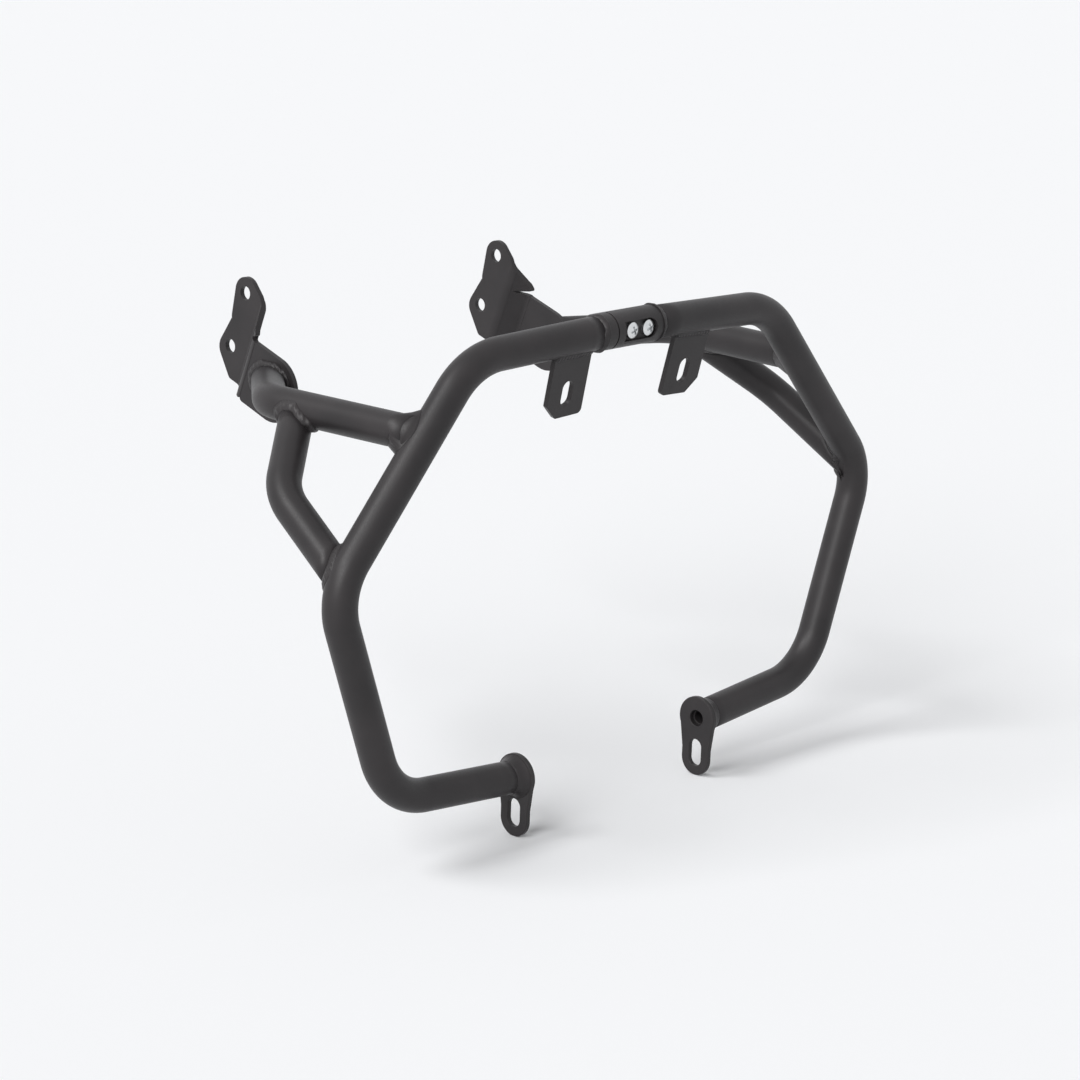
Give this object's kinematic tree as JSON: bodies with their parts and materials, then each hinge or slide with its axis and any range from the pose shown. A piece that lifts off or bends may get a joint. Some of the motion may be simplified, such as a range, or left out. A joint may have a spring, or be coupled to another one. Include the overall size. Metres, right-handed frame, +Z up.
{
  "type": "motorcycle crash bars",
  "caption": "Bent steel tube engine guard in two mirrored halves, bolted together at the crown, with stays, braces, rear brackets, slotted tabs and foot plates.",
  "frame": {"origin": "midway between the two foot plate bores, on their common axis", "axes": "+X towards the rider's left, -Y towards the front of the motorcycle, +Z up"},
  "size_m": [0.6006, 0.3167, 0.3911],
  "materials": {
    "black_powder_coat": "satin black powder coat with a fine texture",
    "zinc_plate": "bright zinc plate"
  },
  "bodies": {
    "root": {"left_hoop_tube": "black_powder_coat", "left_stay_tube": "black_powder_coat", "left_brace_tube": "black_powder_coat", "left_rear_bracket": "black_powder_coat", "left_upper_tab": "black_powder_coat", "left_foot_plate": "black_powder_coat", "left_foot_bush": "black_powder_coat", "left_splice_plug": "black_powder_coat", "left_stay_weld": "black_powder_coat", "left_brace_top_weld": "black_powder_coat", "left_brace_foot_weld": "black_powder_coat", "left_bracket_weld": "black_powder_coat", "left_tab_weld": "black_powder_coat", "left_foot_weld": "black_powder_coat", "left_splice_weld": "black_powder_coat", "right_hoop_tube": "black_powder_coat", "right_stay_tube": "black_powder_coat", "right_brace_tube": "black_powder_coat", "right_rear_bracket": "black_powder_coat", "right_upper_tab": "black_powder_coat", "right_foot_plate": "black_powder_coat", "right_foot_bush": "black_powder_coat", "right_splice_plug": "black_powder_coat", "right_stay_weld": "black_powder_coat", "right_brace_top_weld": "black_powder_coat", "right_brace_foot_weld": "black_powder_coat", "right_bracket_weld": "black_powder_coat", "right_tab_weld": "black_powder_coat", "right_foot_weld": "black_powder_coat", "right_splice_weld": "black_powder_coat", "inner_splice_screw": "zinc_plate", "outer_splice_screw": "zinc_plate"}
  },
  "joints": []
}
